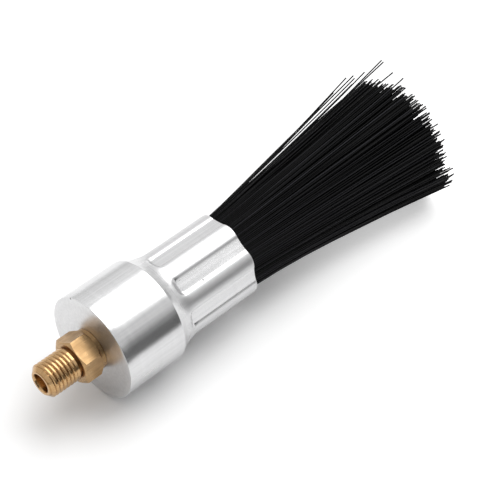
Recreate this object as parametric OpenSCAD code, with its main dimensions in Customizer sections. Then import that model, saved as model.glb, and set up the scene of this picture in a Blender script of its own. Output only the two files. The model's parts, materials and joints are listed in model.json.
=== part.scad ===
// Lubricating brush: a brass inlet stud, a crimped aluminium body and a flared pack of nylon bristles.
// The brush lies on its side on the floor Z = 0, with its axis along X and its bristles towards +X.
// Stations are measured along the axis from the front face of the body's head, in millimetres.

/* [Inlet stud] */
// Major diameter of the inlet thread, drawn as a plain cylinder
thread_d = 8; // [7.4:0.05:8.8]
// Length of the threaded end, from its tip to the relief neck
thread_len = 7.9; // [5:0.1:11]
// Chamfer at the thread's tip
thread_chamfer = 1.1; // [0.4:0.05:1.15]
// Diameter of the relief neck between the thread and the hexagon
neck_d = 6.8; // [5.8:0.1:7]
// Length of the relief neck
neck_len = 0.4; // [0.3:0.1:1.9]
// Hexagon, across its flats
hex_af = 10; // [9.3:0.1:13.8]
// Length of the hexagon, with the collar behind it
hex_len = 6; // [4.5:0.1:8.8]
// Turn of the hexagon's top corner from straight up, towards +Y
hex_turn = 2; // [-30:1:30]
// How far inside the flats the chamfer round the hexagon's front starts
hex_front_inset = 0.15; // [0.05:0.05:0.35]
// Angle of that chamfer from the end face
hex_front_angle = 30; // [20:1:40]
// Angle of the chamfer round the hexagon's rear from the end face
hex_rear_angle = 45; // [30:1:55]
// How far inside the flats the round collar between the hexagon and the head lies
collar_inset = 0.1; // [0.1:0.05:0.5]
// Length of the collar
collar_len = 1; // [0.4:0.1:1.6]
// Bore of the oil way through the stud
stud_bore_d = 4.3; // [2.5:0.1:4.5]
// Depth of the countersink at the mouth of the bore
mouth_sink = 0.25; // [0.1:0.05:0.35]
// Length of the second thread, screwed into the head
tail_len = 8.2; // [5:0.1:10]

/* [Body] */
// Diameter of the head
head_d = 25.2; // [22.8:0.1:32]
// Length of the head, from its front face to the edge of the sweep
head_len = 15.6; // [14:0.1:20]
// Chamfer round the head's front face
head_chamfer = 0.35; // [0.1:0.05:0.75]
// Length of the hollow sweep from the head down to the ferrule
sweep_len = 6.2; // [4.5:0.1:8.8]
// Outer diameter of the ferrule, over its ridges
ferrule_d = 21.4; // [20.2:0.1:22.4]
// Wall of the ferrule
ferrule_wall = 0.9; // [0.75:0.05:1.4]
// Length of the ferrule, from the end of the sweep to its rim
ferrule_len = 17.6; // [14:0.1:30]
// Depth of the bored socket for the bristles, from the rim
socket_depth = 16.4; // [12.6:0.1:16.9]
// Chamfer round the outside of the rim
rim_chamfer = 0.25; // [0.1:0.05:0.35]
// Drilled oil way between the stud's socket and the bristles
oil_way_d = 3.8; // [2.5:0.1:5]
// Radial clearance between the stud's second thread and its socket
thread_clearance = 0.05; // [0.02:0.01:0.12]
// Space past the end of the stud's second thread
socket_relief = 1.2; // [0.6:0.1:2.5]

/* [Crimp] */
// Number of crimp flutes round the ferrule
flute_count = 8; // [6:1:10]
// Width of a flute's flat floor
flute_w = 3.65; // [3:0.05:4.5]
// Depth of a flute below the ridges, at the middle of its floor
flute_depth = 0.65; // [0.4:0.05:0.75]
// Slope of a flute's side walls, from the floor
flute_side_angle = 50; // [35:1:70]
// How far before the end of the sweep the flutes start
flute_lead = 2.4; // [1:0.1:3]
// Length of the ramp over which a flute sinks to its full depth
flute_ramp = 0.75; // [0.5:0.05:1.9]
// Corner radius at the start of a flute
flute_corner_r = 0.75; // [0.4:0.05:1.4]
// Turn of the first ridge from the +Y side
ridge_turn = 12; // [0:1:44]
// How far each flute presses the bore's wall inwards
crimp_squeeze = 0.5; // [0.25:0.05:0.65]

/* [Bristles] */
// Diameter of a filament
filament_d = 0.45; // [0.44:0.01:0.75]
// Least gap between filaments where the ferrule holds them
filament_gap = 0.015; // [0.015:0.005:0.12]
// Gap between the outermost filaments and the bore
pack_gap = 0.06; // [0.02:0.01:0.25]
// Oil space behind the roots
root_space = 1.3; // [0.6:0.1:3.8]
// Free length of the bristles, from the rim to the plane of the tips
bristle_len = 56; // [38:0.5:88]
// Radius of the flared pack at the plane of the tips
flare_r = 16.8; // [11.3:0.1:20]
// How much the lengths of the filaments differ, either way
ragged = 1.6; // [0:0.1:3.8]
// How far the middle of the pack stands out past its edge
tip_dome = 1.9; // [0:0.1:5]
// Height, as a share of the flare's radius below the axis, at which the floor starts to lift the filaments
lift_start = 0.15; // [0:0.05:0.4]
// Number of stray filaments that lean out of the upper side
stray_count = 3; // [0:1:6]
// How much further than the rest a stray filament leans out
stray_lean = 1.14; // [1:0.01:1.2]
// Number of filaments on the upper side that stand out past the tips
long_count = 4; // [1:1:8]
// How far the longest of them stands out past the plane of the tips
long_reach = 6.3; // [3:0.1:10]

/* [Hidden] */

$fn = 96;
// Lets a cut run clear of the face that it opens
past = 1;
// Lets the ramp of a flute run out through the sweep ahead of it
ramp_run_out = 0.6;

// Stations along the axis
neck_x = -hex_len - neck_len;
stud_tip_x = neck_x - thread_len;
sweep_x = head_len + sweep_len;
rim_x = sweep_x + ferrule_len;
socket_x = rim_x - socket_depth;
flute_x = sweep_x - flute_lead;
root_x = socket_x + root_space;
tip_x = rim_x + bristle_len;
longest_x = tip_x + long_reach;

// Radii worked out from the sizes above
hex_corner_r = hex_af / 2 / cos(30);
collar_r = hex_af / 2 - collar_inset;
tail_r = thread_d / 2;
tail_socket_r = tail_r + thread_clearance;
head_r = head_d / 2;
ferrule_r = ferrule_d / 2;
bore_r = ferrule_r - ferrule_wall;
bore_flat = bore_r - crimp_squeeze;
flute_floor = ferrule_r - flute_depth;
flute_pitch = 360 / flute_count;
flute_turn = ridge_turn + flute_pitch / 2;
// The sweep is an arc that meets the ferrule smoothly and the head at an edge
sweep_drop = head_r - ferrule_r;
sweep_r = (sweep_drop * sweep_drop + sweep_len * sweep_len) / (2 * sweep_drop);

// Bristles: three-sided filaments whose side is the filament's diameter, set out as a sunflower's seeds
filament_r = filament_d / sqrt(3);
pack_inset = pack_gap + filament_r;
// Least spacing of that pattern in the crimped bore, times the root of the count, for a pack of radius 1
pattern_spacing = 1.4;
filament_count = floor(pow(pattern_spacing * (bore_r - pack_inset) / (filament_d + filament_gap), 2));
golden_angle = 180 * (3 - sqrt(5));
scatter = rands(-1, 1, 3 * filament_count, 42);
// Sideways scatter of the tips, as a share of the gaps that the flare opens
tip_scatter = 0.25;
// The side on which the strays and the long filaments lie, how wide a sector they take, and the share of
// the pack, counted from its edge, that they come from
stray_angle = 44;
stray_sector = 24;
edge_share = 0.3;

// Turns a solid drawn along Z onto the brush's axis
module along_axis(x = 0) {
    translate([x, 0, 0]) rotate([0, 90, 0]) children();
}

// Lays the brush on the floor, with the middle of its length over the origin
module laid_down() {
    translate([-(stud_tip_x + longest_x) / 2, 0, head_r]) children();
}

// A hexagon bar with the corners turned off at both ends, at its rear down to the collar
module chamfered_hexagon(length) {
    front_r = hex_af / 2 - hex_front_inset;
    clear_r = hex_corner_r + past;
    intersection() {
        rotate([0, 0, 180 - hex_turn]) cylinder(r = hex_corner_r, h = length, $fn = 6);
        rotate_extrude() polygon([
            [0, 0],
            [front_r, 0],
            [clear_r, (clear_r - front_r) * tan(hex_front_angle)],
            [clear_r, length - (clear_r - collar_r) * tan(hex_rear_angle)],
            [collar_r, length],
            [0, length]
        ]);
    }
}

module inlet_stud() {
    color("goldenrod") laid_down() difference() {
        union() {
            along_axis(stud_tip_x)
                cylinder(d1 = thread_d - 2 * thread_chamfer, d2 = thread_d, h = thread_chamfer);
            along_axis(stud_tip_x + thread_chamfer) cylinder(d = thread_d, h = thread_len - thread_chamfer);
            along_axis(neck_x) cylinder(d = neck_d, h = neck_len);
            along_axis(-hex_len) chamfered_hexagon(hex_len - collar_len);
            along_axis(-collar_len) cylinder(r = collar_r, h = collar_len);
            along_axis() cylinder(r = tail_r, h = tail_len);
        }
        along_axis(stud_tip_x - past) cylinder(d = stud_bore_d, h = tail_len - stud_tip_x + 2 * past);
        along_axis(stud_tip_x) cylinder(d1 = stud_bore_d + 2 * mouth_sink, d2 = stud_bore_d, h = mouth_sink);
    }
}

// Half section of the turned blank: radius across, station up
module blank_profile() {
    difference() {
        polygon([
            [0, 0],
            [head_r - head_chamfer, 0],
            [head_r, head_chamfer],
            [head_r, sweep_x],
            [ferrule_r, sweep_x],
            [ferrule_r, rim_x - rim_chamfer],
            [ferrule_r - rim_chamfer, rim_x],
            [0, rim_x]
        ]);
        translate([ferrule_r + sweep_r, sweep_x]) circle(r = sweep_r);
    }
}

// What one crimping jaw presses in: a flat floor with sloping sides, rounded and ramped where it starts
module flute_cut() {
    start_x = flute_x - ramp_run_out;
    length = rim_x - start_x + past;
    height = flute_depth + past;
    spread = height / tan(flute_side_angle);
    top_w = flute_w + 2 * flute_depth / tan(flute_side_angle);
    intersection() {
        // Section across the flute
        translate([start_x, 0, flute_floor]) rotate([90, 0, 90]) linear_extrude(length) polygon([
            [-flute_w / 2, 0],
            [flute_w / 2, 0],
            [flute_w / 2 + spread, height],
            [-flute_w / 2 - spread, height]
        ]);
        // Outline seen from outside, with rounded corners at its start
        translate([start_x, 0, flute_floor]) linear_extrude(height) union() {
            translate([flute_corner_r, -top_w / 2]) square([length, top_w]);
            translate([0, -top_w / 2 + flute_corner_r]) square([length, top_w - 2 * flute_corner_r]);
            for (side = [-1, 1]) {
                translate([flute_corner_r, side * (top_w / 2 - flute_corner_r)]) circle(r = flute_corner_r);
            }
        }
        // Side view, with the ramp at its start
        translate([flute_x, top_w, flute_floor]) rotate([90, 0, 0]) linear_extrude(2 * top_w) polygon([
            [flute_ramp * (1 - height / flute_depth), height],
            [flute_ramp, 0],
            [length, 0],
            [length, height]
        ]);
    }
}

// The bore that the crimp leaves: round, with a flat under each flute
module crimped_bore() {
    length = socket_depth + past;
    intersection() {
        along_axis(socket_x) cylinder(r = bore_r, h = length);
        rotate([flute_turn - 90, 0, 0]) along_axis(socket_x) rotate([0, 0, 180 + flute_pitch / 2])
            cylinder(r = bore_flat / cos(flute_pitch / 2), h = length, $fn = flute_count);
    }
}

module crimped_body() {
    color("silver") laid_down() difference() {
        along_axis() rotate_extrude() blank_profile();
        along_axis(-past) cylinder(r = tail_socket_r, h = tail_len + socket_relief + past);
        along_axis() cylinder(d = oil_way_d, h = rim_x);
        crimped_bore();
        for (i = [0 : flute_count - 1]) rotate([flute_turn - 90 + i * flute_pitch, 0, 0]) flute_cut();
    }
}

// Place of filament k in a disc of radius 1
function seed(k) = sqrt((k + 0.5) / filament_count) * [cos(k * golden_angle), sin(k * golden_angle)];

// How far the crimped bore reaches in a direction, less what the outermost filaments keep clear
function reach(angle) =
    let (from_flat = (angle - flute_turn + 360 + flute_pitch / 2) % flute_pitch - flute_pitch / 2)
    min(bore_r, bore_flat / cos(from_flat)) - pack_inset;

// Place of filament k across the ferrule
function held(k) = seed(k) * reach(atan2(seed(k)[1], seed(k)[0]));

// Height at the plane of the tips: the floor lifts the filaments below the start of the lift
function lifted(z) =
    let (start = -lift_start * flare_r, floor_z = -head_r + filament_r)
    z > start ? z : start + (z - start) * (start - floor_z) / (start + flare_r);

// Filaments at the pack's edge on the upper side, the outermost first
function off_side(k) = abs((k * golden_angle) % 360 - stray_angle);
upper_edge = [
    for (i = [1 : floor(filament_count * edge_share)])
        let (k = filament_count - i)
        if (off_side(k) < stray_sector / 2) k
];
// The strays are the outermost of them, and the long ones come next
function picked(from, count) =
    [for (i = [from : 1 : from + count - 1]) if (i < len(upper_edge)) upper_edge[i]];
strays = picked(0, stray_count);
long_ones = picked(stray_count, long_count);
// Place of filament k in a list of picked ones
function rank(k, list) = let (found = search(k, list)) len(found) > 0 ? found[0] : undef;

// Place of filament k across the plane of the tips
function fanned(k) =
    let (
        place = seed(k) * flare_r * (is_undef(rank(k, strays)) ? 1 : stray_lean),
        gap = tip_scatter * (flare_r / bore_r - 1) * filament_d,
        shift = gap * [scatter[3 * k], scatter[3 * k + 1]]
    )
    [place[0] + shift[0], lifted(place[1] + shift[1])];

// Station of the tip of filament k
function tip_station(k) =
    let (late = rank(k, long_ones), out = norm(seed(k)))
    is_undef(late)
        ? tip_x + ragged * scatter[3 * k + 2] + tip_dome * (1 - out * out)
        : longest_x - late * long_reach / (2 * long_count);

// Place of filament k where it ends, along its straight run from the rim
function ended(k) =
    let (run = (tip_station(k) - rim_x) / bristle_len, at = held(k) + (fanned(k) - held(k)) * run)
    [at[0], max(at[1], -head_r + filament_r)];

// Corners of a filament's section at station x
function ring(x, at) =
    [for (i = [0 : 2]) [x, at[0] + filament_r * cos(90 + 120 * i), at[1] + filament_r * sin(90 + 120 * i)]];

module bristles() {
    points = [for (k = [0 : filament_count - 1]) each [
        each ring(root_x, held(k)),
        each ring(rim_x, held(k)),
        each ring(tip_station(k), ended(k))
    ]];
    faces = [for (k = [0 : filament_count - 1]) let (n = 9 * k) each [
        [n, n + 1, n + 2],
        [n + 8, n + 7, n + 6],
        for (r = [0, 3], i = [0 : 2])
            let (j = (i + 1) % 3)
            [n + r + i, n + r + 3 + i, n + r + 3 + j, n + r + j]
    ]];
    color([0.06, 0.06, 0.07]) laid_down() polyhedron(points, faces);
}

inlet_stud();
crimped_body();
bristles();
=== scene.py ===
"""Lubricating brush: the finished surfaces around its solid model.

The brush lies on its side along X. A brass stud with an inlet thread and a hexagon is screwed into a turned
aluminium body, whose thin ferrule is crimped onto a flared pack of black nylon filaments. All lengths are in
metres.
"""
import json
import math

import bpy
import numpy as np
from bpy.props import FloatProperty, FloatVectorProperty, IntProperty, PointerProperty
from mathutils import Matrix, Vector


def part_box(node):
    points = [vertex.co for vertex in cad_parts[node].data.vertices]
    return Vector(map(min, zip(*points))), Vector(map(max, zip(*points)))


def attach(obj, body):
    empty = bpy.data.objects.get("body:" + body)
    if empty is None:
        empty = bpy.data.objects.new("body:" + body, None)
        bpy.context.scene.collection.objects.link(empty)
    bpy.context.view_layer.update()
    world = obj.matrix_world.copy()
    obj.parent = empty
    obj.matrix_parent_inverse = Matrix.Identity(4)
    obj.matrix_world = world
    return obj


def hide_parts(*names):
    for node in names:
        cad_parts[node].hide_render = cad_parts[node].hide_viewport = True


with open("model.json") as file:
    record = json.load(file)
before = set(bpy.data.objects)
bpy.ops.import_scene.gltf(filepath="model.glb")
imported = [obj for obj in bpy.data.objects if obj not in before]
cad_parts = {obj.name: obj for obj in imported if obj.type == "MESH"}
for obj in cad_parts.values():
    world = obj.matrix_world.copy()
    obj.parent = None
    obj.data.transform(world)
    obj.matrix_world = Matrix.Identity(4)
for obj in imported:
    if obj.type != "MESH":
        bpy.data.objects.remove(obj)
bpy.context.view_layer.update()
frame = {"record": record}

bl_info = {
    "name": "Lubricating Brush",
    "version": (1, 0, 0),
    "blender": (4, 5, 0),
    "location": "3D View > Sidebar > Brush",
    "description": "Brass stud, crimped aluminium body and flared nylon bristles around the solid model",
    "category": "Object",
}

MM = 0.001

# What the solid model gives: its boxes, and the inlet thread's radius and length
BODY_LOW, BODY_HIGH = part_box("crimped_body")
STUD_LOW, STUD_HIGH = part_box("inlet_stud")
PACK_LOW, PACK_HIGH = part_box("bristles")
INLET = frame["record"]["mounts"][0]
THREAD_R = INLET["dims"]["r_mm"] * MM
HEAD_R = (BODY_HIGH.z - BODY_LOW.z) / 2
AXIS_Z = BODY_LOW.z + HEAD_R
FACE_X = BODY_LOW.x
RIM = BODY_HIGH.x - FACE_X
STUD_TIP = STUD_LOW.x - FACE_X
STUD_END = STUD_HIGH.x - FACE_X
ROOT = PACK_LOW.x - FACE_X
PACK_END = PACK_HIGH.x - FACE_X

FULL_TURN = 2 * math.pi


def length(name, default, description):
    """A length property, shown in the scene's own unit."""
    return FloatProperty(name=name, default=default, description=description, min=0.0,
                         unit="LENGTH", precision=6)


def angle(name, default, description):
    """An angle property, given here in degrees."""
    return FloatProperty(name=name, default=math.radians(default), description=description, subtype="ANGLE")


def share(name, default, description):
    """A property from 0 to 1."""
    return FloatProperty(name=name, default=default, description=description, min=0.0, max=1.0,
                         subtype="FACTOR")


def colour(name, default, description):
    """A colour property."""
    return FloatVectorProperty(name=name, default=default, description=description, min=0.0, max=1.0,
                               subtype="COLOR")


def number(name, default, description, least=0.0):
    """A plain number property."""
    return FloatProperty(name=name, default=default, description=description, min=least)


def whole(name, default, description, least=3):
    """A whole number property."""
    return IntProperty(name=name, default=default, description=description, min=least)


class BrushStudSettings(bpy.types.PropertyGroup):
    """Sizes and finish of the brass inlet stud"""

    pitch: length("Thread pitch", 1.0 * MM, "Distance between neighbouring thread crests")
    thread_length: length("Thread length", 7.9 * MM, "From the tip to the relief neck")
    tip_chamfer: length("Tip chamfer", 1.1 * MM, "Chamfer at the thread's tip")
    land: length("Land", 0.7 * MM, "Plain end of the threaded part, beside the relief neck")
    start: angle("Thread start", 18, "Turn of the thread's first crest round the axis")
    neck_radius: length("Neck radius", 3.4 * MM, "Radius of the relief neck behind the thread")
    hex_length: length("Hexagon length", 6.0 * MM, "Length of the hexagon with the collar behind it")
    across_flats: length("Across flats", 10.0 * MM, "Width of the hexagon across its flats")
    hex_turn: angle("Hexagon turn", 2, "Turn of the top corner from straight up")
    front_inset: length("Front inset", 0.15 * MM, "How far inside the flats the front's chamfer starts")
    front_slope: angle("Front chamfer", 30, "Slope of the front's chamfer from the end face")
    rear_slope: angle("Rear chamfer", 45, "Slope of the rear's chamfer from the end face")
    collar_inset: length("Collar inset", 0.1 * MM, "How far inside the flats the round collar lies")
    collar_length: length("Collar length", 1.0 * MM, "Length of the collar between the hexagon and the head")
    bore_radius: length("Bore radius", 2.15 * MM, "Radius of the oil way through the stud")
    mouth_sink: length("Mouth countersink", 0.25 * MM, "How much wider the bore is at the tip")
    mouth_depth: length("Mouth depth", 0.5 * MM, "Depth of the countersink at the tip")
    brass: colour("Brass", (0.57, 0.365, 0.18), "Colour of clean brass")
    # Oil film in the thread's roots, which also serves as painted shade there and at the collar's seat
    grime: colour("Grime", (0.25, 0.12, 0.035), "Colour of the oil film in the thread's roots")
    roughness: share("Roughness", 0.17, "Roughness of the turned brass")
    hex_roughness: share("Hexagon roughness", 0.27, "Roughness of the hexagon and its collar")
    hex_dulling: share("Hexagon dulling", 0.16, "How much darker the hexagon and its collar are")


class BrushBodySettings(bpy.types.PropertyGroup):
    """Sizes and finish of the turned and crimped aluminium body"""

    head_length: length("Head length", 15.6 * MM, "From the front face to the edge of the sweep")
    sweep_length: length("Sweep length", 6.2 * MM, "Length of the hollow sweep down to the ferrule")
    ferrule_radius: length("Ferrule radius", 10.7 * MM, "Outer radius of the ferrule over its ridges")
    bore_radius: length("Bore radius", 9.8 * MM, "Inner radius of the ferrule")
    squeeze: length("Squeeze", 0.5 * MM, "How far each flute presses the bore's wall inwards")
    face_edge: length("Face edge", 0.08 * MM, "Rounding of the edge round the face")
    edge_round: length("Edge rounding", 0.25 * MM, "Rounding of the sweep's edge and of the rim")
    flutes: whole("Flutes", 8, "Number of crimp flutes")
    ridge_turn: angle("Ridge turn", 12, "Turn of the first ridge from the +Y side")
    flute_width: length("Flute width", 3.65 * MM, "Width of a flute's flat floor")
    flute_depth: length("Flute depth", 0.65 * MM, "Depth of a flute at the middle of its floor")
    flute_lead: length("Flute lead", 2.4 * MM, "How far ahead of the sweep's end the flutes start")
    flute_ramp: length("Flute ramp", 0.75 * MM, "Length of the ramp at the start of a flute")
    side_slope: angle("Side slope", 45, "Slope of a flute's sides from its floor")
    softness: length("Softness", 0.25 * MM, "Rounding where the flutes run into the ridges")
    ridge_crown: length("Ridge crown", 1.0 * MM, "How far a ridge would drop by the middle of a flute")
    aluminium: colour("Aluminium", (0.655, 0.655, 0.66), "Colour of bare aluminium")
    roughness: share("Roughness", 0.22, "Roughness of the turned side")
    face_roughness: share("Face roughness", 0.34, "Roughness of the faced front")
    ferrule_roughness: share("Ferrule roughness", 0.4, "Roughness of the sweep and of the ridges")
    pressed_roughness: share("Pressed roughness", 0.2, "Roughness of the pressed flute floors")


class BrushBristleSettings(bpy.types.PropertyGroup):
    """Sizes and finish of the nylon filaments"""

    filament_radius: length("Filament radius", 0.175 * MM, "Radius of one filament")
    spacing: length("Spacing", 0.404 * MM, "Distance between filaments where the ferrule holds them")
    free_length: length("Free length", 56.0 * MM, "From the rim to the plane of the tips")
    flare_radius: length("Flare radius", 16.8 * MM, "Radius of the pack at the plane of the tips")
    ragged: length("Raggedness", 1.6 * MM, "How much the lengths of the filaments differ, either way")
    tip_dome: length("Tip dome", 1.9 * MM, "How far the middle of the pack stands out past its edge")
    bend: number("Bend", 1.1, "Power by which the splay grows along the pack", 1.0)
    stray_bend: number("Stray bend", 1.12, "The same power for the strays", 1.0)
    near_bend: number("Near bend", 0.35, "How much larger that power is on the near side")
    far_narrowing: share("Far narrowing", 0.04, "How much narrower the pack is on the far side")
    near_reach: length("Near reach", 1.8 * MM, "How much further out the filaments end low on the near side")
    lift_start: share("Lift start", 0.6, "How low the floor starts to lift them, as a share of the flare")
    clump: length("Clumping", 0.6 * MM, "How far neighbouring filaments gather into tufts at the tips")
    scatter: length("Scatter", 0.4 * MM, "How far single filaments stray sideways at the tips")
    wave: length("Waviness", 0.12 * MM, "Sideways waviness of a filament")
    rings: whole("Rings", 7, "Sections along the free length")
    sides: whole("Sides", 5, "Sides of a filament")
    seed: whole("Seed", 5, "Start of the random draws", 0)
    nylon: colour("Nylon", (0.001, 0.001, 0.0012), "Colour of the darkest filaments")
    nylon_worn: colour("Dusty nylon", (0.02, 0.02, 0.023), "Colour of the palest filaments")
    roughness: share("Roughness", 0.42, "Roughness of the nylon")


class BrushStageSettings(bpy.types.PropertyGroup):
    """Floor, light and camera"""

    floor: colour("Floor", (0.95, 0.95, 0.95), "Colour of the floor")
    near_edge: length("Near edge", 95 * MM, "Distance from the brush to the near edge of the white board")
    # Strength of the board's painted glow, which lightens the bristles' shadow; no lamp stands under the
    # board
    glow: number("Glow", 0.43, "Light that comes through the board")
    room: number("Room", 0.84, "Brightness of the pale room")
    far_side: number("Far side", 1.06, "Brightness of the far wall's top")
    dark_side: number("Dark side", 0.12, "Brightness of the room's dark side")
    softbox: number("Softbox", 2.6, "Brightness of the overhead light")
    softbox_size: length("Softbox size", 0.94, "Diameter of the round light")
    softbox_distance: length("Softbox distance", 0.88, "Distance of the light from the brush")
    view_distance: length("View distance", 0.3856, "Depth from the camera to the middle of the head's face")
    azimuth: angle("Azimuth", -44.1, "Direction that the camera looks from, round the vertical")
    elevation: angle("Elevation", 45.3, "Height that the camera looks down from")
    lens: number("Lens", 135.0, "Focal length in millimetres", 1.0)


# Meshes

def smooth_step(low, high, value):
    """0 below low, 1 above high, and an even S between them."""
    part = np.clip((value - low) / (high - low), 0.0, 1.0)
    return part * part * (3 - 2 * part)


def smooth_max(first, second, blend):
    """The larger of the two, rounded over a distance where they meet."""
    part = np.clip(0.5 + 0.5 * (first - second) / blend, 0.0, 1.0)
    return second + (first - second) * part + blend * part * (1 - part)


def smooth_min(first, second, blend):
    """The smaller of the two, rounded over a distance where they meet."""
    return -smooth_max(-first, -second, blend)


def turned_row(station, radius, angles):
    """One ring of points round the brush's axis; station and radius are numbers, or one for each angle."""
    ring = np.zeros((len(angles), 3))
    ring[:, 0] = FACE_X + station
    ring[:, 1] = radius * np.cos(angles)
    ring[:, 2] = AXIS_Z + radius * np.sin(angles)
    return ring


def smooth_mesh(name, points, faces, value_name, values, crease):
    """A mesh that is smooth up to a crease angle, and keeps a number at each point for its material."""
    mesh = bpy.data.meshes.new(name)
    mesh.from_pydata(points.reshape(-1, 3).tolist(), [], faces)
    kept = mesh.attributes.new(value_name, "FLOAT", "POINT")
    kept.data.foreach_set("value", values.astype(np.float32))
    mesh.shade_smooth()
    mesh.set_sharp_from_angle(angle=crease)
    return mesh


def turned_mesh(name, rows, values, value_name, crease):
    """A closed ring-shaped mesh through rows of points, with one value at each point."""
    points = np.stack(rows)
    count, around = points.shape[:2]
    here = np.arange(count * around).reshape(count, around)
    beside = np.roll(here, -1, 1)
    quads = np.stack([here, beside, np.roll(beside, -1, 0), np.roll(here, -1, 0)], -1)
    faces = quads.reshape(-1, 4).tolist()
    return smooth_mesh(name, points, faces, value_name, np.stack(values).ravel(), crease)


def add_object(name, data):
    """Puts a new object into the scene."""
    made = bpy.data.objects.new(name, data)
    bpy.context.scene.collection.objects.link(made)
    return made


def add_piece(mesh, material, node):
    """Puts a finished mesh into the scene in place of a solid, on the one body that the brush has."""
    mesh.materials.append(material)
    piece = add_object(mesh.name, mesh)
    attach(piece, "root")
    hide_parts(node)


# Stud

HEX_SIDES = 6
COLUMNS_PER_FLAT = 16
ROWS_PER_PITCH = 20
STUD_CREASE = math.radians(28)
# A thread with rounded crests and roots, in shares of its pitch: depth, and half of a crest's width
THREAD_DEPTH = 0.3
CREST_HALF = 0.16
# Chamfer at the end of the land, and how much of a pitch the thread takes to run out into the land
LAND_CHAMFER = 0.13 * MM
RUN_OUT = 0.35
COLLAR_EDGE = 0.1 * MM


def thread_form(station, angles, settings):
    """How deep a right-hand thread is cut at a station, as a share of its full depth, for each angle."""
    turn = station / settings.pitch - (angles - settings.start) / FULL_TURN
    off_crest = np.abs((turn + 0.5) % 1.0 - 0.5)
    return smooth_step(CREST_HALF, 0.5, off_crest)


def threaded_rows(settings, angles):
    """Rings of the inlet thread from its tip to the relief neck, with how deep in the groove they lie."""
    end = STUD_TIP + settings.thread_length
    depth = THREAD_DEPTH * settings.pitch
    count = round(settings.thread_length / settings.pitch * ROWS_PER_PITCH)
    for station in np.linspace(STUD_TIP, end, count + 1):
        fade = smooth_step(0.0, RUN_OUT * settings.pitch, end - settings.land - station)
        groove = thread_form(station, angles, settings) * fade
        radius = THREAD_R - depth * groove
        radius = np.minimum(radius, THREAD_R - settings.tip_chamfer + (station - STUD_TIP))
        radius = np.minimum(radius, THREAD_R - LAND_CHAMFER + (end - station))
        yield turned_row(station, radius, angles), groove
    yield turned_row(end, settings.neck_radius, angles), np.ones(len(angles))


def hexagon_rows(settings, angles):
    """Rings of the hexagon with its corners turned off, from the neck to the collar's seat on the body."""
    flat = settings.across_flats / 2
    corner = math.pi / 2 - settings.hex_turn
    flat_turn = FULL_TURN / HEX_SIDES
    off_flat = (angles - corner) % flat_turn - flat_turn / 2
    radius = flat / np.cos(off_flat)
    front_start = flat - settings.front_inset
    collar = flat - settings.collar_inset
    front = -settings.hex_length
    rear = -settings.collar_length
    yield turned_row(front, settings.neck_radius, angles)
    yield turned_row(front, front_start, angles)
    yield turned_row(front + (radius - front_start) * math.tan(settings.front_slope), radius, angles)
    yield turned_row(rear - (radius - collar) * math.tan(settings.rear_slope), radius, angles)
    yield turned_row(rear, collar, angles)
    yield turned_row(-COLLAR_EDGE, collar, angles)
    yield turned_row(0.0, collar - COLLAR_EDGE, angles)


def stud_mesh(settings):
    """The whole stud: bored, countersunk, threaded, necked and hexagonal, with its tail in the socket."""
    corner = math.pi / 2 - settings.hex_turn
    angles = corner + np.linspace(0, FULL_TURN, HEX_SIDES * COLUMNS_PER_FLAT, endpoint=False)
    clean = np.zeros(len(angles))
    darkened = clean + 1
    rows = [
        turned_row(STUD_TIP + settings.mouth_depth, settings.bore_radius, angles),
        turned_row(STUD_TIP, settings.bore_radius + settings.mouth_sink, angles),
    ]
    # Darker inside the bore than at its mouth
    values = [darkened, clean]
    for row, groove in threaded_rows(settings, angles):
        rows.append(row)
        values.append(groove)
    for row in hexagon_rows(settings, angles):
        rows.append(row)
        values.append(clean)
    # Painted shade darkens the collar's seat where it meets the head, and the tail and the bore are darkened
    # too
    values[-1] = darkened
    tail_and_bore = (
        (0.0, THREAD_R),
        (STUD_END, THREAD_R),
        (STUD_END, settings.bore_radius),
        (0.0, settings.bore_radius),
    )
    for station, radius in tail_and_bore:
        rows.append(turned_row(station, radius, angles))
        values.append(darkened)
    return turned_mesh("stud", rows, values, "groove", STUD_CREASE)


# Body

COLUMNS_PER_FLUTE = 28
ROWS_ALONG_SWEEP = 28
ROWS_ALONG_FERRULE = 44
ROUND_STEPS = 4
BODY_CREASE = math.radians(32)
SOCKET_R = 4.05 * MM
SOCKET_RELIEF = 1.2 * MM
OIL_WAY_R = 1.9 * MM
ROOT_SPACE = 1.3 * MM
# Radii of the rings on the face, and stations of the rings along the head
FACE_RINGS = (SOCKET_R, 4.7 * MM, 6.3 * MM, 8.2 * MM, 10.1 * MM, 11.6 * MM)
HEAD_RINGS = (2.5 * MM, 5 * MM, 7.5 * MM, 10 * MM, 12.5 * MM, 14.6 * MM)
# How many edge roundings the nearest ring keeps from the head's edge on the sweep, and from the rim
SWEEP_ROOM = 3
RIM_ROOM = 2
# Flutes: radius of the floor's corners, rounding at its edge, and depth at which the press shows in full
FLUTE_CORNER_R = 0.65 * MM
FLOOR_BLEND = 0.12 * MM
PRESS_FADE = 0.25 * MM
# Length over which the ridges take their crown, and the share of the way to a flute's middle that it spans
CROWN_RUN_IN = 2.5 * MM
CROWN_WIDTH = 0.55
# Half of how far the rim stands back at the flutes, and how far from the rim that starts
RIM_WAVE = 0.15 * MM
RIM_WAVE_LENGTH = 4 * MM
# Small dark pits in the metal: station and distance from the axis in millimetres, turn round it in degrees,
# and size in millimetres
PITS = (
    (26.2, 10.2, 134, 0.34),
    (0.0, 12.4, 61, 0.3),
    (21.4, 10.2, 118, 0.16),
)


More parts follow.
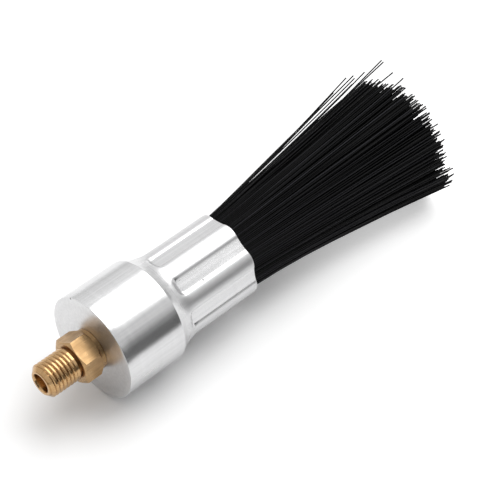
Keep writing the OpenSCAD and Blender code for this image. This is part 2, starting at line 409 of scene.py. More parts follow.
def rounded_corner(before, corner, after, radius):
    """Points of an arc that rounds a corner of an outline."""
    before, corner, after = (np.array(p) for p in (before, corner, after))
    back = (before - corner) / np.linalg.norm(before - corner)
    on = (after - corner) / np.linalg.norm(after - corner)
    half = math.acos(np.clip(back @ on, -1, 1)) / 2
    trim = radius / math.tan(half)
    centre = corner + (back + on) / np.linalg.norm(back + on) * radius / math.sin(half)
    first, last = corner + back * trim - centre, corner + on * trim - centre
    sweep = math.pi - 2 * half
    for step in range(ROUND_STEPS + 1):
        part = step / ROUND_STEPS
        direction = (math.sin((1 - part) * sweep) * first + math.sin(part * sweep) * last) / math.sin(sweep)
        yield centre + direction


def outer_profile(settings):
    """Half section of the turned outside, from the face's inner edge to the rim: station and radius."""
    edge = settings.edge_round
    sweep_start = settings.head_length
    sweep_end = sweep_start + settings.sweep_length
    drop = HEAD_R - settings.ferrule_radius
    arc = (drop * drop + settings.sweep_length ** 2) / (2 * drop)

    def swept(station):
        return settings.ferrule_radius + arc - math.sqrt(arc ** 2 - (sweep_end - station) ** 2)

    face = [(0.0, radius) for radius in FACE_RINGS]
    corner = (0.0, HEAD_R)
    turned_edge = (sweep_start, HEAD_R)
    first_sweep = sweep_start + SWEEP_ROOM * edge
    last_ring = RIM - RIM_ROOM * edge
    side = [(station, HEAD_R) for station in HEAD_RINGS]
    sweep = [(s, swept(s)) for s in np.linspace(first_sweep, sweep_end, ROWS_ALONG_SWEEP)]
    ferrule = [(s, settings.ferrule_radius) for s in np.linspace(sweep_end, last_ring, ROWS_ALONG_FERRULE)]
    return [
        *face,
        *rounded_corner(face[-1], corner, side[0], settings.face_edge),
        *side,
        *rounded_corner(side[-1], turned_edge, sweep[0], edge),
        *sweep,
        *ferrule[1:],
        *rounded_corner(ferrule[-1], (RIM, settings.ferrule_radius), (RIM, settings.bore_radius), edge),
    ]


def off_middle(angles, settings):
    """Angle from the middle of the nearest flute, for each angle round the axis."""
    pitch = FULL_TURN / settings.flutes
    return (angles - settings.ridge_turn) % pitch - pitch / 2


def crimped_bore(off_flute, settings):
    """Radius of the ferrule's bore, which is flat under each flute."""
    return np.minimum(settings.bore_radius, (settings.bore_radius - settings.squeeze) / np.cos(off_flute))


def pressed(station, radius, off_flute, settings):
    """Radius after the crimp at each angle, and how much the jaw has pressed there, from 0 to 1."""
    floor = settings.ferrule_radius - settings.flute_depth
    slope = math.tan(settings.side_slope)
    across = np.abs(radius * np.sin(off_flute))
    flute_start = settings.head_length + settings.sweep_length - settings.flute_lead
    ramp_slope = settings.flute_depth / settings.flute_ramp
    ahead = (flute_start + settings.flute_ramp - station) * ramp_slope / slope
    beside = across - settings.flute_width / 2
    # Distance from the floor's outline, which has rounded corners
    out = np.hypot(np.maximum(ahead + FLUTE_CORNER_R, 0), np.maximum(beside + FLUTE_CORNER_R, 0))
    inside = np.minimum(np.maximum(ahead + FLUTE_CORNER_R, beside + FLUTE_CORNER_R), 0)
    rise = (out + inside - FLUTE_CORNER_R) * slope
    height = floor + smooth_max(rise, np.zeros_like(rise), FLOOR_BLEND)
    jaw = height / np.cos(off_flute)
    # The jaws also round the ridges that stand between them
    off_ridge = np.minimum(1 - np.abs(off_flute) / (math.pi / settings.flutes), CROWN_WIDTH)
    crown = settings.ridge_crown * smooth_step(flute_start, flute_start + CROWN_RUN_IN, station)
    ridge = radius - crown * off_ridge ** 2
    squeezed = smooth_min(jaw, ridge, settings.softness)
    return squeezed, smooth_step(0.0, PRESS_FADE, ridge - jaw)


def body_mesh(settings):
    """The whole body: socket, face, head, sweep, crimped ferrule, rim, bore and oil way."""
    columns = settings.flutes * COLUMNS_PER_FLUTE
    angles = settings.ridge_turn + np.linspace(0, FULL_TURN, columns, endpoint=False)
    off_flute = off_middle(angles, settings)
    plain = np.zeros(columns)
    rows, values = [], []

    def add(station, radius, value=plain):
        rows.append(turned_row(station, radius, angles))
        values.append(value)

    socket_end = STUD_END + SOCKET_RELIEF
    add(socket_end, OIL_WAY_R)
    add(socket_end, SOCKET_R)
    rim_wave = RIM_WAVE * (-1 - np.cos(settings.flutes * off_flute))
    for station, radius in outer_profile(settings):
        if station < settings.head_length:
            add(station, radius)
            continue
        squeezed, mark = pressed(station, radius, off_flute, settings)
        wave = rim_wave * smooth_step(RIM - RIM_WAVE_LENGTH, RIM, station)
        add(station + wave, squeezed, mark)
    bore = crimped_bore(off_flute, settings)
    add(RIM + rim_wave, bore + settings.edge_round / 2)
    add(RIM + rim_wave - settings.edge_round / 2, bore)
    add(ROOT - ROOT_SPACE, bore)
    add(ROOT - ROOT_SPACE, OIL_WAY_R)
    return turned_mesh("body", rows, values, "pressed", BODY_CREASE)


# Bristles

# What the filaments keep clear of the floor and of the bore
CLEARANCE = 0.05 * MM
BRISTLE_CREASE = math.radians(70)
# Distance between close packed rows, as a share of that between the filaments in a row
ROW_SHARE = math.sqrt(0.75)
# How far the filaments are held off their places, and the least distance from the middle that is divided by
HELD_SCATTER = 0.01 * MM
LEAST_OUT = 1e-6
# Tufts: wave numbers in the bore's radius, how many drifts each has, and what is left of them at the edge
TUFT_WAVES = (3, 5, 8)
TUFT_DRIFTS = 4
EDGE_TUFTS = 0.6
# Direction across the pack, towards the near side and down, in which the filaments are longer and more
# curved, and the shares of the bore's radius at which that starts and is full
NEAR_SIDE = np.array([-0.84, -0.54])
NEAR_SPAN = (0.55, 0.95)
# Direction of the far side and up, in which the pack is narrower, and where that starts and is full
FAR_SIDE = np.array([0.82, 0.57])
FAR_SPAN = (0.45, 0.9)
# Least and most waves along a filament
WAVE_RATES = (0.6, 1.6)
# Power that leaves most filaments dark and few of them dusty
TONE_POWER = 5
# Single filaments that stand out: section angle in degrees, how far they lean out as a share of the flare,
# and how far they end past the plane of the tips in millimetres
STRAYS = (
    (33, 1.10, -6.0),
    (35, 1.085, 1.1),
    (38, 1.13, -1.6),
    (40, 1.045, -0.3),
    (44, 1.0, 2.5),
    (46, 1.03, -3.0),
    (57, 1.0, 5.9),
    (60, 1.06, 4.8),
    (75, 1.00, 2.9),
    (80, 0.85, 5.0),
)


def held_places(settings, ferrule):
    """Places of the filaments across the ferrule, close packed inside its crimped bore."""
    step = settings.spacing
    rows = int(ferrule.bore_radius / (step * ROW_SHARE)) + 1
    places = []
    for row in range(-rows, rows + 1):
        for column in range(-rows - 1, rows + 2):
            places.append(((column + (row % 2) / 2) * step, row * step * ROW_SHARE))
    places = np.array(places)
    turn = np.arctan2(places[:, 1], places[:, 0])
    limit = crimped_bore(off_middle(turn, ferrule), ferrule) - settings.filament_radius - CLEARANCE
    return places[np.hypot(places[:, 0], places[:, 1]) < limit]


def tuft_shift(places, draw, size):
    """A smooth sideways drift that gathers neighbouring filaments into tufts."""
    shift = np.zeros_like(places)
    for waves in TUFT_WAVES:
        for _ in range(TUFT_DRIFTS):
            direction = draw.uniform(0, FULL_TURN)
            phase = draw.uniform(0, FULL_TURN)
            along = places @ np.array([math.cos(direction), math.sin(direction)])
            push = draw.normal(0, 1, 2)
            shift += np.sin(along * waves + phase)[:, None] * push / waves
    return shift / np.abs(shift).max() * size


def lowest_line(settings):
    """Height of a filament's centre line where it lies on the floor, against the axis."""
    return -AXIS_Z + settings.filament_radius + CLEARANCE


def lifted(height, settings):
    """Height at the plane of the tips, where the floor holds up the filaments on the lower side."""
    start = -settings.lift_start * settings.flare_radius
    squash = (start - lowest_line(settings)) / (start + settings.flare_radius)
    return np.where(height > start, height, start + (height - start) * squash)


def lean_strays_out(scaled, tips, ends, bend, settings):
    """Makes a stray of the filament that is held furthest out in each stray's direction."""
    free = np.ones(len(scaled))
    for degrees, lean, reach in STRAYS:
        turn = math.radians(degrees)
        direction = np.array([math.cos(turn), math.sin(turn)])
        nearest = np.argmax(free * (scaled @ direction))
        free[nearest] = 0
        bend[nearest] = settings.stray_bend
        tips[nearest] = direction * settings.flare_radius * lean
        ends[nearest] = RIM + settings.free_length + reach * MM


def keep_in_box(paths, settings):
    """Keeps the centre lines above the floor and inside the box of the solid model's bristles."""
    widest = min(PACK_HIGH.y, -PACK_LOW.y) - settings.filament_radius
    highest = PACK_HIGH.z - AXIS_Z - settings.filament_radius
    paths[:, :, 0] = np.minimum(paths[:, :, 0], PACK_END)
    paths[:, :, 1] = np.clip(paths[:, :, 1], -widest, widest)
    paths[:, :, 2] = np.clip(paths[:, :, 2], lowest_line(settings), highest)


def filament_paths(settings, ferrule):
    """Centre lines of all filaments, one row of points each, as station, across and up from the axis."""
    draw = np.random.default_rng(settings.seed)
    held = held_places(settings, ferrule)
    scaled = held / ferrule.bore_radius
    out = np.hypot(scaled[:, 0], scaled[:, 1])
    held = held + draw.normal(0, HELD_SCATTER, held.shape)
    tips = scaled / np.maximum(out, LEAST_OUT)[:, None] * (out / out.max())[:, None] * settings.flare_radius
    tufted = np.minimum(1, 1 + EDGE_TUFTS - out)[:, None]
    tips = tips + tuft_shift(scaled, draw, settings.clump) * tufted
    tips = tips + draw.normal(0, settings.scatter / 2, tips.shape)
    over = np.hypot(tips[:, 0], tips[:, 1]) / settings.flare_radius
    tips = tips / np.maximum(1, over)[:, None]
    ends = RIM + settings.free_length + settings.ragged * draw.uniform(-1, 1, len(held))
    ends = ends + settings.tip_dome * (1 - out ** 2)
    near = smooth_step(*NEAR_SPAN, scaled @ NEAR_SIDE)
    ends = ends + settings.near_reach * near
    far = smooth_step(*FAR_SPAN, scaled @ FAR_SIDE)
    tips = tips * (1 - settings.far_narrowing * far)[:, None]
    bend = (settings.bend + settings.near_bend * near)[:, None]
    lean_strays_out(scaled, tips, ends, bend, settings)
    tips[:, 1] = lifted(tips[:, 1], settings)
    parts = np.linspace(0, 1, settings.rings + 1)
    run = (ends - RIM) / settings.free_length
    along = run[:, None] * parts
    # The filaments leave the rim nearly straight and then splay
    splay = along ** bend
    phase = draw.uniform(0, FULL_TURN, (len(held), 2))
    rate = draw.uniform(*WAVE_RATES, (len(held), 1))
    paths = np.zeros((len(held), settings.rings + 2, 3))
    paths[:, 0, 0] = ROOT
    paths[:, 0, 1:] = held
    paths[:, 1:, 0] = RIM + settings.free_length * along
    for side in (0, 1):
        wave = settings.wave * np.sin(phase[:, side, None] + rate * parts * FULL_TURN) * parts
        start = settings.wave * np.sin(phase[:, side, None]) * parts
        paths[:, 1:, 1 + side] = held[:, side, None] + (tips - held)[:, side, None] * splay + wave - start
    keep_in_box(paths, settings)
    return paths, draw


def filament_mesh(name, paths, tones, settings):
    """Many-sided tubes along the paths, closed at both ends, with one tone for each filament."""
    count, stations = paths.shape[:2]
    sides = settings.sides
    turn = np.linspace(0, FULL_TURN, sides, endpoint=False)
    section = np.stack([np.zeros(sides), np.cos(turn), np.sin(turn)], -1) * settings.filament_radius
    points = paths[:, :, None, :] + section
    points = points + np.array([FACE_X, 0.0, AXIS_Z])
    here = np.arange(count * stations * sides).reshape(count, stations, sides)
    beside = np.roll(here, -1, 2)
    walls = np.stack([here[:, :-1], beside[:, :-1], beside[:, 1:], here[:, 1:]], -1).reshape(-1, 4)
    caps = np.concatenate([here[:, 0, ::-1], here[:, -1]])
    faces = walls.tolist() + caps.tolist()
    return smooth_mesh(name, points, faces, "tone", np.repeat(tones, stations * sides), BRISTLE_CREASE)


# Materials

WHITE = (1.0, 1.0, 1.0, 1.0)
# Sockets of a Mix node that take its two colours and give the mixed one
FIRST_COLOUR = 6
SECOND_COLOUR = 7
MIXED_COLOUR = 2
# What a noise is on average
NOISE_MIDDLE = 0.5
# Turning marks: scale and reach of their unevenness, and how many bands there are to a ring
UNEVEN_SCALE = 70.0
UNEVEN_REACH = 0.5 * MM
BANDS_PER_RING = 0.17
# How drawn lines and scratches are stretched along their direction, and how the scratches are turned
LINE_STRETCH = (0.03, 1.0, 1.0)
SCRATCH_STRETCH = (0.08, 1.0, 1.0)
SCRATCH_TURN = (0.4, 0.3, 0.5)
# Where in their noises stains and scratches start and are full
STAIN_SPAN = (0.4, 0.68)
SCRATCH_SPAN = (0.62, 0.72)
# Brass: how fast the thread's grooves darken, how much oil film and painted shade they take and how much
# grime the stains take, and how far ahead of the hexagon its duller finish starts
GROOVE_POWER = 1.5
GROOVE_GRIME_AND_SHADE = 0.6
STAIN_DIRT = 0.3
FLATS_LEAD = 0.1 * MM
# Aluminium: how bright a pit is against the metal, and how deep the pores of the pressed floors are
PIT_SHADE = 0.25
PORE_DEPTH = 0.2
# Painted glow: where the board's own glow is centred under the bristles, how far it reaches along and across
# the brush, and how bright the board's darker grains are against the rest
PAINTED_GLOW_PLACE = (43 * MM, -7 * MM)
PAINTED_GLOW_REACH = (68 * MM, 28 * MM)
BOARD_GRAIN = 0.99


def add_node(tree, kind, inputs=None, **settings):
    """Adds a shader node. Its inputs are given values, or sockets to be linked."""
    made = tree.nodes.new(kind)
    for key, value in settings.items():
        setattr(made, key, value)
    for key, value in (inputs or {}).items():
        if isinstance(value, bpy.types.NodeSocket):
            tree.links.new(value, made.inputs[key])
        else:
            made.inputs[key].default_value = value
    return made


def calculate(tree, operation, *values):
    """A math node on sockets or numbers."""
    return add_node(tree, "ShaderNodeMath", dict(enumerate(values)), operation=operation).outputs[0]


def raised(tree, value, by, times):
    """A value with a number of times another one added."""
    return calculate(tree, "MULTIPLY_ADD", by, times, value)


def varied(tree, noise, amount, middle):
    """A value that a noise moves to both sides of its middle."""
    return raised(tree, middle - amount * NOISE_MIDDLE, by=noise, times=amount)


def faded(tree, value, low, high, start=0.0, end=1.0, way="SMOOTHSTEP"):
    """Goes from one number to another while a value goes from low to high."""
    inputs = {"Value": value, "From Min": low, "From Max": high, "To Min": start, "To Max": end}
    return add_node(tree, "ShaderNodeMapRange", inputs, interpolation_type=way).outputs[0]


def mix_colours(tree, factor, first, second):
    """A colour between two, by a factor."""
    inputs = {0: factor, FIRST_COLOUR: first, SECOND_COLOUR: second}
    return add_node(tree, "ShaderNodeMix", inputs, data_type="RGBA").outputs[MIXED_COLOUR]


def brightened(tree, paint, factor):
    """A colour times a factor."""
    inputs = {0: paint, "Scale": factor}
    return add_node(tree, "ShaderNodeVectorMath", inputs, operation="SCALE").outputs[0]


def object_place(tree):
    """Where a point of the surface lies, in the brush's own frame."""
    return add_node(tree, "ShaderNodeTexCoord").outputs["Object"]


def noise_over(tree, place, scale, detail):
    """A noise that changes with the place."""
    inputs = {"Vector": place, "Scale": scale, "Detail": detail}
    return add_node(tree, "ShaderNodeTexNoise", inputs).outputs["Fac"]


def rgba(values):
    """A colour with full opacity."""
    return (*values[:3], 1.0)


def new_group(name, inputs, outputs):
    """An empty shader node group with its sockets, and the nodes that carry them."""
    group = bpy.data.node_groups.new(name, "ShaderNodeTree")
    for title, default in inputs:
        socket = group.interface.new_socket(title, in_out="INPUT", socket_type="NodeSocketFloat")
        socket.default_value = default
    for title in outputs:
        group.interface.new_socket(title, in_out="OUTPUT", socket_type="NodeSocketFloat")
    entry = group.nodes.new("NodeGroupInput")
    leave = group.nodes.new("NodeGroupOutput")
    return group, entry, leave


def turning_marks(name):
    """Group: fine rings left by the lathe, round the axis on the sides and round the middle on the faces."""
    inputs = (("Rings per Metre", 6000.0), ("Unevenness", 0.5))
    group, entry, leave = new_group(name, inputs, ("Marks", "Bands"))
    place = object_place(group)
    parts = add_node(group, "ShaderNodeSeparateXYZ", {0: place})
    height = calculate(group, "SUBTRACT", parts.outputs["Z"], AXIS_Z)
    square = calculate(group, "ADD", calculate(group, "MULTIPLY", parts.outputs["Y"], parts.outputs["Y"]),
                       calculate(group, "MULTIPLY", height, height))
    along = calculate(group, "ADD", parts.outputs["X"], calculate(group, "SQRT", square))
    drift = noise_over(group, place, UNEVEN_SCALE, 1.0)
    uneven = calculate(group, "MULTIPLY", entry.outputs["Unevenness"], UNEVEN_REACH)
    drifted = calculate(group, "MULTIPLY_ADD", drift, uneven, along)
    cut = calculate(group, "MULTIPLY", drifted, entry.outputs["Rings per Metre"])
    fine = add_node(group, "ShaderNodeTexNoise", {"W": cut, "Scale": 1.0, "Detail": 3.0, "Roughness": 0.7},
                    noise_dimensions="1D")
    coarse = calculate(group, "MULTIPLY", cut, BANDS_PER_RING)
    wide = add_node(group, "ShaderNodeTexNoise", {"W": coarse, "Scale": 1.0, "Detail": 1.0},
                    noise_dimensions="1D")
    group.links.new(fine.outputs["Fac"], leave.inputs["Marks"])
    group.links.new(wide.outputs["Fac"], leave.inputs["Bands"])


def drawn_lines(name):
    """Group: the lines along the axis that the drawn bar keeps."""
    group, entry, leave = new_group(name, (("Scale", 2000.0),), ("Lines",))
    inputs = {"Vector": object_place(group), "Scale": LINE_STRETCH}
    drawn = add_node(group, "ShaderNodeMapping", inputs).outputs[0]
    lines = noise_over(group, drawn, entry.outputs["Scale"], 2.0)
    group.links.new(lines, leave.inputs["Lines"])


def handling_marks(name):
    """Group: soft stains and fine scratches from handling."""
    inputs = (("Stain Scale", 180.0), ("Scratch Scale", 900.0))
    group, entry, leave = new_group(name, inputs, ("Stains", "Scratches"))
    place = object_place(group)
    stain = noise_over(group, place, entry.outputs["Stain Scale"], 3.0)
    stretch = {"Vector": place, "Rotation": SCRATCH_TURN, "Scale": SCRATCH_STRETCH}
    drawn = add_node(group, "ShaderNodeMapping", stretch).outputs[0]
    scratch = noise_over(group, drawn, entry.outputs["Scratch Scale"], 2.0)
    group.links.new(faded(group, stain, *STAIN_SPAN, way="LINEAR"), leave.inputs["Stains"])
    group.links.new(faded(group, scratch, *SCRATCH_SPAN, way="LINEAR"), leave.inputs["Scratches"])


def fine_grain(name):
    """Group: the small grain of a pressed or extruded surface."""
    group, entry, leave = new_group(name, (("Scale", 5000.0),), ("Grain",))
    grain = noise_over(group, object_place(group), entry.outputs["Scale"], 4.0)
    group.links.new(grain, leave.inputs["Grain"])


def placed(tree, fill, **values):
    """Puts an effect's node group into a material with its own values, and builds it at its first use.

    Underscores in the names of the effect's function and of the values stand for spaces.
    """
    name = fill.__name__.replace("_", " ").title()
    if name not in bpy.data.node_groups:
        fill(name)
    made = tree.nodes.new("ShaderNodeGroup")
    made.node_tree = bpy.data.node_groups[name]
    for key, value in values.items():
        made.inputs[key.replace("_", " ")].default_value = value
    return made


def new_material(name):
    """A material with an empty tree, its shader and its output."""
    material = bpy.data.materials.new(name)
    material.use_nodes = True
    tree = material.node_tree
    tree.nodes.clear()
    shader = tree.nodes.new("ShaderNodeBsdfPrincipled")
    output = tree.nodes.new("ShaderNodeOutputMaterial")
    tree.links.new(shader.outputs[0], output.inputs[0])
    return material, tree, shader


def mesh_value(tree, name):
    """The number that the mesh keeps at each point under this name."""
    kept = add_node(tree, "ShaderNodeAttribute", attribute_name=name, attribute_type="GEOMETRY")
    return kept.outputs["Fac"]


def set_bump(tree, shader, height, distance, strength):
    """Raises the surface by a height."""
    bump = add_node(tree, "ShaderNodeBump", {"Height": height, "Distance": distance, "Strength": strength})
    tree.links.new(bump.outputs[0], shader.inputs["Normal"])


def brass_material(settings):
    """Turned brass with drawn lines and light stains, darker in the thread's roots from oil film and painted
    shade, with painted shade at the collar's seat, darker in the bore, and duller on the hexagon.
    """
    material, tree, shader = new_material("turned_brass")
    turned = placed(tree, turning_marks, Rings_per_Metre=7000.0, Unevenness=0.3)
    handled = placed(tree, handling_marks, Stain_Scale=330.0, Scratch_Scale=1400.0)
    drawn = placed(tree, drawn_lines, Scale=2600.0)
    # Oil film and painted shade: the deeper in the thread's roots, the darker; the collar's seat and the
    # bore are darkened the same way, and real stains darken too
    groove = calculate(tree, "POWER", mesh_value(tree, "groove"), GROOVE_POWER)
    grooved = calculate(tree, "MULTIPLY", groove, GROOVE_GRIME_AND_SHADE)
    stained = calculate(tree, "MULTIPLY", handled.outputs["Stains"], STAIN_DIRT)
    grime_shade_and_stains = calculate(tree, "MAXIMUM", grooved, stained)
    base = mix_colours(tree, grime_shade_and_stains, rgba(settings.brass), rgba(settings.grime))
    along = add_node(tree, "ShaderNodeSeparateXYZ", {0: object_place(tree)}).outputs["X"]
    flats = calculate(tree, "GREATER_THAN", along, FACE_X - settings.hex_length - FLATS_LEAD)
    shade = varied(tree, drawn.outputs["Lines"], amount=0.5, middle=1.0)
    shade = raised(tree, shade, by=flats, times=-settings.hex_dulling)
    tree.links.new(brightened(tree, base, shade), shader.inputs["Base Color"])
    rough = varied(tree, turned.outputs["Marks"], amount=0.12, middle=settings.roughness)
    rough = raised(tree, rough, by=flats, times=settings.hex_roughness - settings.roughness)
    rough = raised(tree, rough, by=handled.outputs["Stains"], times=0.1)
    tree.links.new(rough, shader.inputs["Roughness"])
    shader.inputs["Metallic"].default_value = 1.0
    set_bump(tree, shader, turned.outputs["Marks"], distance=0.005 * MM, strength=0.5)
    return material


def aluminium_material(settings):
    """Bare aluminium: turned on the head, faced in front, matt on the ridges and smooth where pressed."""
    material, tree, shader = new_material("turned_aluminium")
    turned = placed(tree, turning_marks, Rings_per_Metre=4000.0, Unevenness=0.2)
    handled = placed(tree, handling_marks, Stain_Scale=95.0, Scratch_Scale=550.0)
    grain = placed(tree, fine_grain, Scale=2800.0)
    drawn = placed(tree, drawn_lines, Scale=1700.0)
    press = mesh_value(tree, "pressed")
    place = object_place(tree)
    lines = calculate(tree, "SUBTRACT", drawn.outputs["Lines"], NOISE_MIDDLE)
    shade = varied(tree, turned.outputs["Bands"], amount=0.08, middle=1.0)
    shade = raised(tree, shade, by=lines, times=0.25)
    shade = raised(tree, shade, by=handled.outputs["Stains"], times=-0.03)
    for station, out, turn, size in PITS:
        turn = math.radians(turn)
        centre = (FACE_X + station * MM, out * MM * math.cos(turn), AXIS_Z + out * MM * math.sin(turn))
        apart = add_node(tree, "ShaderNodeVectorMath", {0: place, 1: centre}, operation="DISTANCE")
        clear = faded(tree, apart.outputs["Value"], size * MM / 2, size * MM, start=PIT_SHADE)
        shade = calculate(tree, "MULTIPLY", shade, clear)
    tree.links.new(brightened(tree, tuple(settings.aluminium), shade), shader.inputs["Base Color"])
    along = add_node(tree, "ShaderNodeSeparateXYZ", {0: place}).outputs["X"]
    station = calculate(tree, "SUBTRACT", along, FACE_X)
    face = calculate(tree, "LESS_THAN", station, settings.face_edge / 2)
    ferrule = faded(tree, station, settings.head_length, settings.head_length + settings.sweep_length)
    rough = varied(tree, turned.outputs["Marks"], amount=0.08, middle=settings.roughness)
    rough = raised(tree, rough, by=face, times=settings.face_roughness - settings.roughness)
    rough = raised(tree, rough, by=ferrule, times=settings.ferrule_roughness - settings.roughness)
    rough = raised(tree, rough, by=press, times=settings.pressed_roughness - settings.ferrule_roughness)
    rough = raised(tree, rough, by=handled.outputs["Scratches"], times=0.08)
    tree.links.new(rough, shader.inputs["Roughness"])
    shader.inputs["Metallic"].default_value = 1.0
    unpressed = calculate(tree, "SUBTRACT", 1.0, press)
    rings = calculate(tree, "MULTIPLY", calculate(tree, "ADD", turned.outputs["Marks"], lines), unpressed)
    pores = calculate(tree, "MULTIPLY", grain.outputs["Grain"], PORE_DEPTH)
    pores = calculate(tree, "MULTIPLY", pores, press)
    set_bump(tree, shader, calculate(tree, "ADD", rings, pores), distance=0.0075 * MM, strength=0.4)
    return material


def nylon_material(settings):
    """Black extruded nylon with a satin sheen, each filament in its own tone."""
    material, tree, shader = new_material("black_nylon")
    tone = mesh_value(tree, "tone")
    grain = placed(tree, fine_grain, Scale=2000.0)
    base = mix_colours(tree, tone, rgba(settings.nylon), rgba(settings.nylon_worn))
    tree.links.new(base, shader.inputs["Base Color"])
    rough = varied(tree, grain.outputs["Grain"], amount=0.16, middle=settings.roughness)
    tree.links.new(rough, shader.inputs["Roughness"])
    shader.inputs["Specular IOR Level"].default_value = 0.05
    set_bump(tree, shader, grain.outputs["Grain"], distance=0.012 * MM, strength=0.3)
    return material


def floor_material(settings):
    """Matt white board with a painted glow under the bristles, which lightens their shadow."""
    material, tree, shader = new_material("white_board_painted_glow")
    inputs = {"Vector": object_place(tree), "Location": (*PAINTED_GLOW_PLACE, 0.0), "Scale": (*PAINTED_GLOW_REACH, 1.0)}
    away = add_node(tree, "ShaderNodeMapping", inputs, vector_type="TEXTURE").outputs[0]
    reach = add_node(tree, "ShaderNodeVectorMath", {0: away}, operation="LENGTH").outputs["Value"]
    # Painted glow: the board emits light under the bristles, fading away from them, to lighten their shadow
    glow = faded(tree, reach, 0.0, 1.0, start=settings.glow, end=0.0)
    tree.links.new(brightened(tree, WHITE[:3], glow), shader.inputs["Emission Color"])
    shader.inputs["Emission Strength"].default_value = 1.0
    grain = placed(tree, fine_grain, Scale=40.0)
    darker = [part * BOARD_GRAIN for part in settings.floor]
    pale = mix_colours(tree, grain.outputs["Grain"], rgba(settings.floor), rgba(darker))
    tree.links.new(pale, shader.inputs["Base Color"])
    shader.inputs["Roughness"].default_value = 0.9
    shader.inputs["Specular IOR Level"].default_value = 0.1
    return material


# Stage

FLOOR_SIZE = 6.0
# Where the middle of the head's face stands in the photograph, which is 480 pixels wide and high
FACE_PIXEL = (92.1, 348.1)
PHOTO_SIZE = 480
SENSOR = 36.0
# Directions along the room's dark side, and the angles from them at which the room is dark and pale again
DARK_DIRECTIONS = ((0.57, -0.82, -0.05), (0, -1, -0.05), (-0.57, -0.82, -0.05), (-0.55, -0.75, 0.35))
DARK_CORE = math.radians(10)
DARK_EDGE = math.radians(36)
# Direction of the camera and its holder, and the angles from it at which they are dark and the room is pale
CAMERA_DIRECTION = (-0.5, -0.4, 0.77)
CAMERA_CORE = math.radians(10)
CAMERA_EDGE = math.radians(24)
# Direction of the room's brightest wall, and the angles from it at which it has faded and is full
FAR_DIRECTION = (0.2, 0.6, 0.77)
FAR_CORE = math.radians(12)
FAR_EDGE = math.radians(46)
# Direction of the overhead light from the brush
SOFTBOX_DIRECTION = (0.47, 0.04, 0.88)


def stand(thing, place, right, up, back):
    """Places an object, with its own three axes along these directions."""
    thing.matrix_world = Matrix.Translation(place) @ Matrix((right, up, back)).transposed().to_4x4()


def add_floor(settings):
    """A large white board under the brush, with its near edge just outside the picture."""
    half = FLOOR_SIZE / 2
    near = -settings.near_edge
    mesh = bpy.data.meshes.new("floor")
    corners = [(-half, near, 0), (half, near, 0), (half, half, 0), (-half, half, 0)]
    mesh.from_pydata(corners, [], [(0, 1, 2, 3)])
    mesh.materials.append(floor_material(settings))
    floor = add_object("floor", mesh)


def add_room(settings):
    """A pale room with one dark side and one brighter one, as the world."""
    world = bpy.data.worlds.new("room")
    bpy.context.scene.world = world
    world.use_nodes = True
    tree = world.node_tree
    tree.nodes.clear()
    direction = add_node(tree, "ShaderNodeTexCoord").outputs["Generated"]

    def side(centre, core, edge):
        """1 within an angle of a direction, falling evenly to 0 at a wider angle."""
        inputs = {0: direction, 1: tuple(Vector(centre).normalized())}
        towards = add_node(tree, "ShaderNodeVectorMath", inputs, operation="DOT_PRODUCT").outputs["Value"]
        return faded(tree, towards, math.cos(edge), math.cos(core))

    far = side(FAR_DIRECTION, FAR_CORE, FAR_EDGE)
    dark = side(CAMERA_DIRECTION, CAMERA_CORE, CAMERA_EDGE)
    for centre in DARK_DIRECTIONS:
        dark = calculate(tree, "MAXIMUM", dark, side(centre, DARK_CORE, DARK_EDGE))
    strength = raised(tree, settings.room, by=far, times=settings.far_side - settings.room)
    strength = raised(tree, strength, by=dark, times=settings.dark_side - settings.room)
    background = add_node(tree, "ShaderNodeBackground", {"Color": WHITE, "Strength": strength})
    output = tree.nodes.new("ShaderNodeOutputWorld")
    tree.links.new(background.outputs[0], output.inputs[0])


def add_softbox(settings):
    """One large round light overhead, which faces the brush."""
    lamp = bpy.data.lights.new("softbox", "AREA")
    lamp.shape = "DISK"
    lamp.size = settings.softbox_size
    # Power of a disk that shines with this brightness
    lamp.energy = settings.softbox * math.pi * math.pi * (lamp.size / 2) ** 2
    back = Vector(SOFTBOX_DIRECTION).normalized()
    right = Vector((0, 1, 0)).cross(back).normalized()
    stand(add_object("softbox", lamp), back * settings.softbox_distance, right, back.cross(right), back)


def add_camera(settings):
    """The camera of the photograph, placed from where the head's face stands in it."""
    turn = settings.azimuth
    rise = settings.elevation
    back = Vector((math.sin(turn) * math.cos(rise), -math.cos(turn) * math.cos(rise), math.sin(rise)))
    right = Vector((math.cos(turn), math.sin(turn), 0))
    up = back.cross(right)
    camera = bpy.data.cameras.new("camera")
    camera.lens = settings.lens
    camera.sensor_width = SENSOR
    camera.clip_start = 0.01
    camera.clip_end = 10
    per_pixel = settings.view_distance * SENSOR / settings.lens / PHOTO_SIZE
    across = (FACE_PIXEL[0] - PHOTO_SIZE / 2) * per_pixel
    above = (PHOTO_SIZE / 2 - FACE_PIXEL[1]) * per_pixel
    face = Vector((FACE_X, 0, AXIS_Z))
    place = face + back * settings.view_distance - right * across - up * above
    eye = add_object("camera", camera)
    stand(eye, place, right, up, back)
    bpy.context.scene.camera = eye


class BRUSH_OT_add_stud(bpy.types.Operator):
    """Add the brass inlet stud with its cut thread"""

    bl_idname = "brush.add_stud"
    bl_label = "Add Stud"

    def execute(self, context):
        settings = context.scene.brush_stud
        add_piece(stud_mesh(settings), brass_material(settings), "inlet_stud")
        return {"FINISHED"}


class BRUSH_OT_add_body(bpy.types.Operator):
    """Add the turned aluminium body with its crimped ferrule"""

    bl_idname = "brush.add_body"
    bl_label = "Add Body"

    def execute(self, context):
        settings = context.scene.brush_body
        add_piece(body_mesh(settings), aluminium_material(settings), "crimped_body")
        return {"FINISHED"}


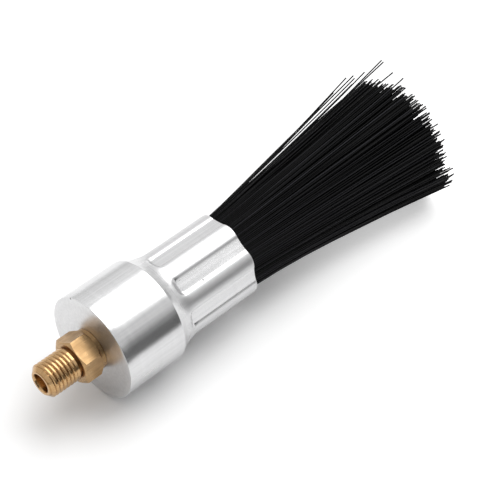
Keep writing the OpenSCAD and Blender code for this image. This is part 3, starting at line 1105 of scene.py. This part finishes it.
class BRUSH_OT_add_bristles(bpy.types.Operator):
    """Add the flared pack of nylon filaments"""

    bl_idname = "brush.add_bristles"
    bl_label = "Add Bristles"

    def execute(self, context):
        settings = context.scene.brush_bristles
        paths, draw = filament_paths(settings, context.scene.brush_body)
        tones = draw.uniform(0, 1, len(paths)) ** TONE_POWER
        mesh = filament_mesh("filaments", paths, tones, settings)
        add_piece(mesh, nylon_material(settings), "bristles")
        return {"FINISHED"}


class BRUSH_OT_add_stage(bpy.types.Operator):
    """Add the floor, the room's light and the camera"""

    bl_idname = "brush.add_stage"
    bl_label = "Add Stage"

    def execute(self, context):
        settings = context.scene.brush_stage
        add_camera(settings)
        add_floor(settings)
        add_room(settings)
        add_softbox(settings)
        context.scene.view_settings.view_transform = "Standard"
        return {"FINISHED"}


OPERATORS = (BRUSH_OT_add_stage, BRUSH_OT_add_stud, BRUSH_OT_add_body, BRUSH_OT_add_bristles)
SETTINGS = {
    "brush_stage": BrushStageSettings,
    "brush_stud": BrushStudSettings,
    "brush_body": BrushBodySettings,
    "brush_bristles": BrushBristleSettings,
}


class BRUSH_PT_panel(bpy.types.Panel):
    """Lists the brush's pieces with their sizes and colours"""

    bl_idname = "BRUSH_PT_panel"
    bl_label = "Lubricating Brush"
    bl_space_type = "VIEW_3D"
    bl_region_type = "UI"
    bl_category = "Brush"

    def draw(self, context):
        for operator, (name, group) in zip(OPERATORS, SETTINGS.items()):
            box = self.layout.box()
            for key in group.__annotations__:
                box.prop(getattr(context.scene, name), key)
            box.operator(operator.bl_idname)


CLASSES = (*SETTINGS.values(), *OPERATORS, BRUSH_PT_panel)


def register():
    """Makes the settings, the operators and the panel known to Blender."""
    for entry in CLASSES:
        bpy.utils.register_class(entry)
    for name, group in SETTINGS.items():
        setattr(bpy.types.Scene, name, PointerProperty(type=group))


def unregister():
    """Takes everything away again, in the opposite order."""
    for name in reversed(SETTINGS):
        delattr(bpy.types.Scene, name)
    for entry in reversed(CLASSES):
        bpy.utils.unregister_class(entry)


def main():
    """Builds the brush on its stage."""
    register()
    bpy.ops.brush.add_stage()
    bpy.ops.brush.add_stud()
    bpy.ops.brush.add_body()
    bpy.ops.brush.add_bristles()


if __name__ == "__main__":
    main()
